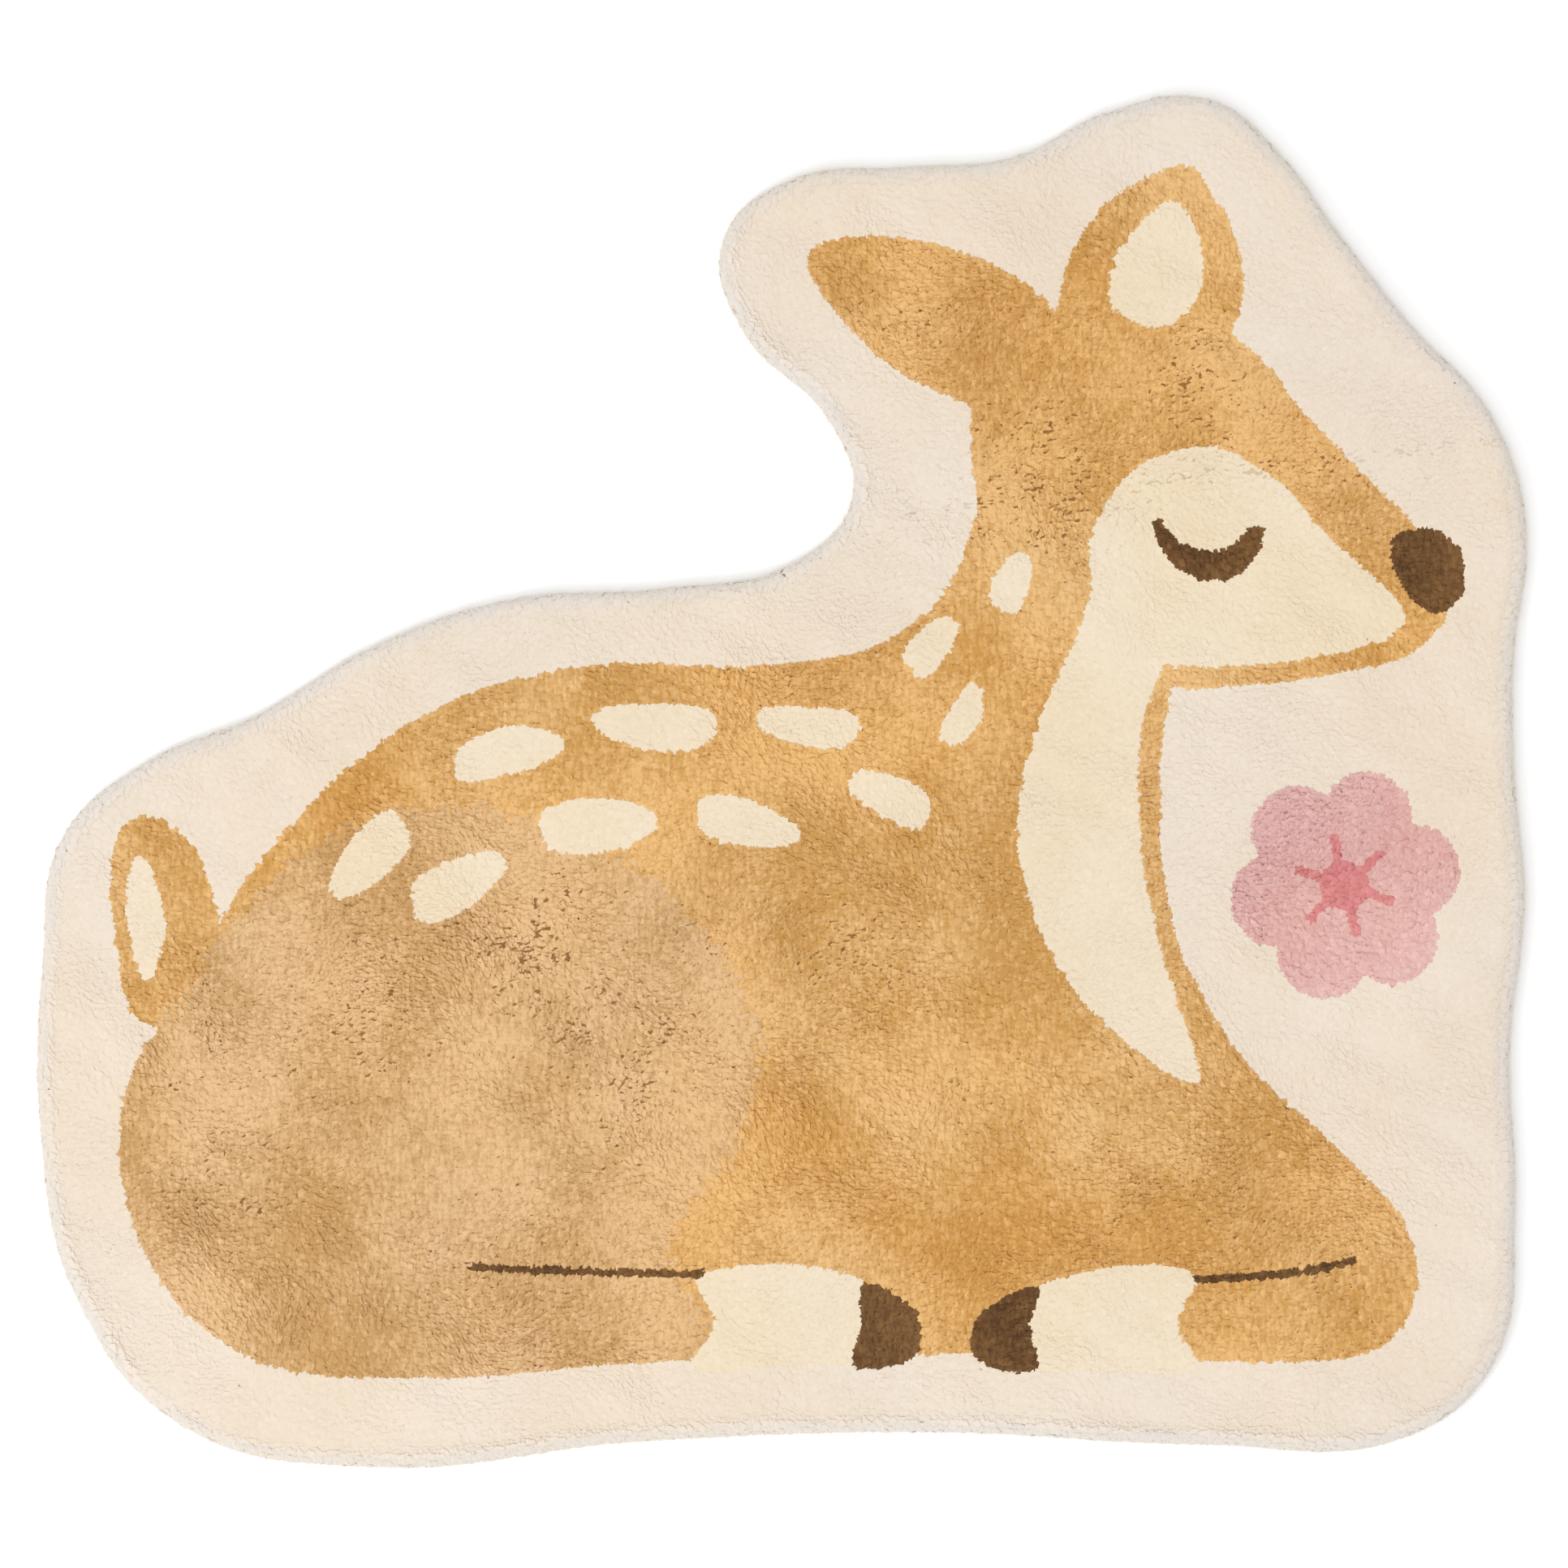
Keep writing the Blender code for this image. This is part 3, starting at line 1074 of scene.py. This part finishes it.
class RUG_OT_pack_yarn(bpy.types.Operator):
    """Stands the yarn on the backing, as high as it is packed"""

    bl_idname = "rug.pack_yarn"
    bl_label = "Pack the yarn"

    def execute(self, context):
        piece = new_object("packed_pile", packed_mesh(backing_edge()))
        mesh = piece.data
        mesh.shade_smooth()
        places = np.array([vertex.co[:2] for vertex in mesh.vertices])
        yarns = yarn_at(places, np.random.default_rng(SEED))
        deep = np.array([linear(YARN_SHADES[yarn][2]) for yarn in YARNS])
        colours = mesh.color_attributes.new("yarn", "FLOAT_COLOR", "POINT")
        colours.data.foreach_set("color", deep[yarns].astype(np.float32).ravel())
        mesh.materials.append(packed_yarn("packed_yarn"))
        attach(piece, BODY)
        return {"FINISHED"}


class RUG_OT_tuft_border(bpy.types.Operator):
    """Tufts the cream border round the fawn"""

    bl_idname = "rug.tuft_border"
    bl_label = "Tuft the border"

    def execute(self, context):
        in_bands("pile_border", "border", BORDER_CUTS)
        return {"FINISHED"}


class RUG_OT_tuft_coat(bpy.types.Operator):
    """Tufts the fawn's coat in two tans"""

    bl_idname = "rug.tuft_coat"
    bl_label = "Tuft the coat"

    def execute(self, context):
        in_bands("pile_coat", "gold", COAT_CUTS)
        pile_piece("pile_haunch", "tan")
        return {"FINISHED"}


class RUG_OT_tuft_markings(bpy.types.Operator):
    """Tufts the pale face, spots and feet, and the brown nose, eye and hooves"""

    bl_idname = "rug.tuft_markings"
    bl_label = "Tuft the markings"

    def execute(self, context):
        pile_piece("pile_pale_markings", "cream")
        pile_piece("pile_brown_markings", "brown")
        return {"FINISHED"}


class RUG_OT_tuft_flower(bpy.types.Operator):
    """Tufts the pink flower"""

    bl_idname = "rug.tuft_flower"
    bl_label = "Tuft the flower"

    def execute(self, context):
        pile_piece("pile_petals", "pink")
        pile_piece("pile_flower_heart", "rose")
        return {"FINISHED"}


# ---- the studio ----

PHOTO_WIDTH = 1932  # pixels
RUG_IN_PHOTO = 1836  # pixels from side to side
AIM = (0.0016, -0.0020)  # what the middle of the photo looks at
CAMERA_HEIGHT = 7.0
SENSOR = 0.036
FLOOR_SIZE = 60.0
KEY_PLACE = (-1.3, -0.6, 4.4)
KEY_ANGLE = 50.0  # how wide the light looks from the rug, in degrees
FILL_PLACE = (-2.6, -2.4, 2.9)  # beyond the rump, the brightest end in the photo
FILL_WIDTH = 1.2
# The room is as bright as the floor up to the top of its walls, and darkens from there to its
# ceiling. Both heights are sines of the angle above level.
WALL_GLOW = 1.08
WALL_TOP = 0.2
CEILING_FROM = 0.5


def aimed_light(name, kind, energy, place):
    """Hangs a lamp at a place, turned to the middle of the rug."""
    light = new_object(name, bpy.data.lights.new(name, kind))
    light.data.energy = energy
    light.location = place
    light.rotation_euler = light.location.to_track_quat("Z", "Y").to_euler()
    return light


class RUG_OT_set_studio(bpy.types.Operator):
    """Makes the pale floor, the soft light and the camera above the rug"""

    bl_idname = "rug.set_studio"
    bl_label = "Set the studio"

    def execute(self, context):
        studio = context.scene.rug_studio
        bpy.ops.mesh.primitive_plane_add(size=FLOOR_SIZE)
        floor = context.active_object
        floor.name = "floor"
        floor.data.materials.append(floor_paint("painted_floor", studio.floor))

        world = bpy.data.worlds.new("studio")
        world.use_nodes = True
        tree = world.node_tree
        way = add_node(tree, "ShaderNodeTexCoord").outputs["Generated"]
        up = add_node(tree, "ShaderNodeSeparateXYZ", Vector=way).outputs["Z"]
        room = tree.nodes["Background"]
        room.inputs["Color"].default_value = (1.0, 1.0, 1.0, 1.0)
        glow = ranged(tree, up, WALL_TOP, CEILING_FROM, WALL_GLOW, studio.sky)
        tree.links.new(glow, room.inputs["Strength"])
        context.scene.world = world
        key = aimed_light("key_light", "SUN", studio.key, KEY_PLACE)
        key.data.angle = radians(KEY_ANGLE)
        fill = aimed_light("fill_panel", "AREA", studio.fill, FILL_PLACE)
        fill.data.size = FILL_WIDTH
        fill.visible_camera = False

        rug_length = (CAD_BOX[1] - CAD_BOX[0])[0]
        lens = bpy.data.cameras.new("camera")
        lens.sensor_width = SENSOR * 1000
        lens.lens = lens.sensor_width * CAMERA_HEIGHT / (rug_length * PHOTO_WIDTH / RUG_IN_PHOTO)
        camera = new_object("camera", lens)
        camera.location = (*AIM, CAMERA_HEIGHT)
        context.scene.camera = camera
        context.scene.view_settings.view_transform = "Standard"
        return {"FINISHED"}


# ---- the add-on ----

OPERATORS = (
    RUG_OT_lay_backing,
    RUG_OT_pack_yarn,
    RUG_OT_tuft_border,
    RUG_OT_tuft_coat,
    RUG_OT_tuft_markings,
    RUG_OT_tuft_flower,
    RUG_OT_set_studio,
)


class RUG_PT_panel(bpy.types.Panel):
    bl_label = "Fawn Rug"
    bl_idname = "RUG_PT_panel"
    bl_space_type = "VIEW_3D"
    bl_region_type = "UI"
    bl_category = "Fawn Rug"

    def draw(self, context):
        for group in (context.scene.rug_pile, context.scene.rug_studio):
            for name in group.__annotations__:
                self.layout.prop(group, name)
        for operator in OPERATORS:
            self.layout.operator(operator.bl_idname)


CLASSES = (PileSettings, StudioSettings, *OPERATORS, RUG_PT_panel)


def register():
    for item in CLASSES:
        bpy.utils.register_class(item)
    bpy.types.Scene.rug_pile = bpy.props.PointerProperty(type=PileSettings)
    bpy.types.Scene.rug_studio = bpy.props.PointerProperty(type=StudioSettings)


def unregister():
    del bpy.types.Scene.rug_studio
    del bpy.types.Scene.rug_pile
    for item in reversed(CLASSES):
        bpy.utils.unregister_class(item)


def declare_sheet():
    """Reads the cut edge of the backing from the imported solid, and does nothing more with it."""
    edge = backing_edge()


def main():
    register()
    bpy.ops.rug.lay_backing()
    bpy.ops.rug.pack_yarn()
    bpy.ops.rug.tuft_border()
    bpy.ops.rug.tuft_coat()
    bpy.ops.rug.tuft_markings()
    bpy.ops.rug.tuft_flower()
    bpy.ops.rug.set_studio()
    declare_sheet()


if __name__ == "__main__":
    main()
